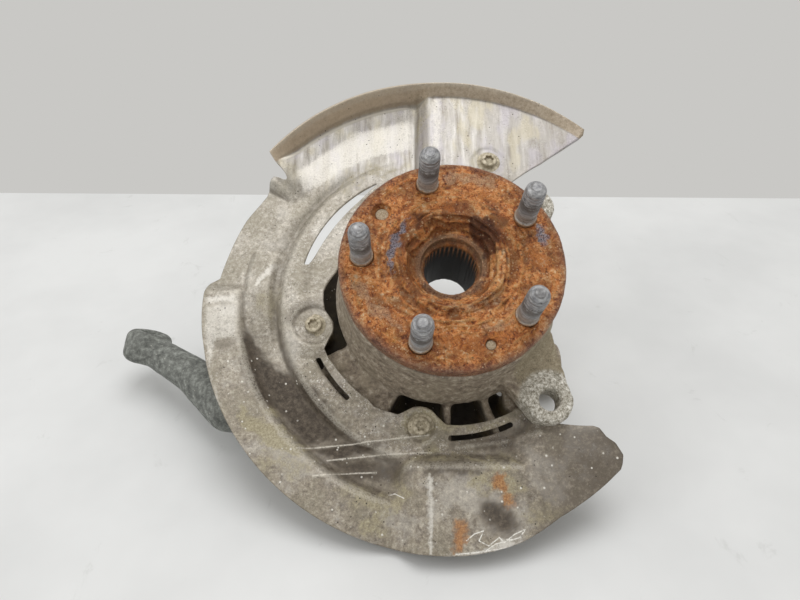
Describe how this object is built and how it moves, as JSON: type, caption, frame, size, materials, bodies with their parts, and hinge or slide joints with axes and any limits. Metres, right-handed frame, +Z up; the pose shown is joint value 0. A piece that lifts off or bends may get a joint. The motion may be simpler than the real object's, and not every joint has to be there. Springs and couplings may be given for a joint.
{
  "type": "steering knuckle",
  "caption": "Cast steering knuckle with a turning wheel hub, wheel studs, splined axle bore, caliper ears, steering arm and a pressed brake dust shield.",
  "frame": {"origin": "centre of the wheel face of the hub flange, on the hub axis", "axes": "+Z is up with the part lying on a table as in the picture, +X runs across the hub towards the caliper ears, and the hub axis leans 34 degrees from +Z towards -Y"},
  "size_m": [0.3839, 0.3327, 0.2263],
  "materials": {
    "casting": "rough cast, dull and dusty",
    "shield_sheet": "pressed sheet, weathered and stained",
    "plated_screws": "dull zinc plating",
    "rusty_steel": "rusted",
    "zinc_studs": "zinc plated, dull",
    "bearing_steel": "ground",
    "spring_steel": "phosphated",
    "cage_plastic": "moulded nylon",
    "seal_rubber": "matt"
  },
  "bodies": {
    "knuckle": {"knuckle": "casting", "dust_shield": "shield_sheet", "shield_screw_1": "plated_screws", "shield_screw_2": "plated_screws", "shield_screw_3": "plated_screws", "bearing_outer_ring": "bearing_steel", "bearing_snap_ring": "spring_steel", "bearing_seal_outboard": "seal_rubber", "bearing_seal_inboard": "seal_rubber"},
    "hub": {"wheel_hub": "rusty_steel", "wheel_stud_1": "zinc_studs", "wheel_stud_2": "zinc_studs", "wheel_stud_3": "zinc_studs", "wheel_stud_4": "zinc_studs", "wheel_stud_5": "zinc_studs", "bearing_inner_ring_outboard": "bearing_steel", "bearing_inner_ring_inboard": "bearing_steel"},
    "outboard_ball_row": {"bearing_balls_outboard": "bearing_steel", "bearing_cage_outboard": "cage_plastic"},
    "inboard_ball_row": {"bearing_balls_inboard": "bearing_steel", "bearing_cage_inboard": "cage_plastic"}
  },
  "joints": [
    {"name": "hub_spin", "type": "hinge", "parent": "knuckle", "child": "hub", "pos_m": [0, 0, 0], "axis": [0, -0.5592, 0.829], "continuous": true},
    {"name": "outboard_balls_orbit", "type": "hinge", "parent": "knuckle", "child": "outboard_ball_row", "pos_m": [0, 0.02153, -0.03192], "axis": [0, -0.5592, 0.829], "continuous": true},
    {"name": "inboard_balls_orbit", "type": "hinge", "parent": "knuckle", "child": "inboard_ball_row", "pos_m": [0, 0.03439, -0.05099], "axis": [0, -0.5592, 0.829], "continuous": true}
  ],
  "couplings": [
    {"joint": "outboard_balls_orbit", "follows": "hub_spin", "ratio": 0.4093},
    {"joint": "inboard_balls_orbit", "follows": "hub_spin", "ratio": 0.4093}
  ]
}
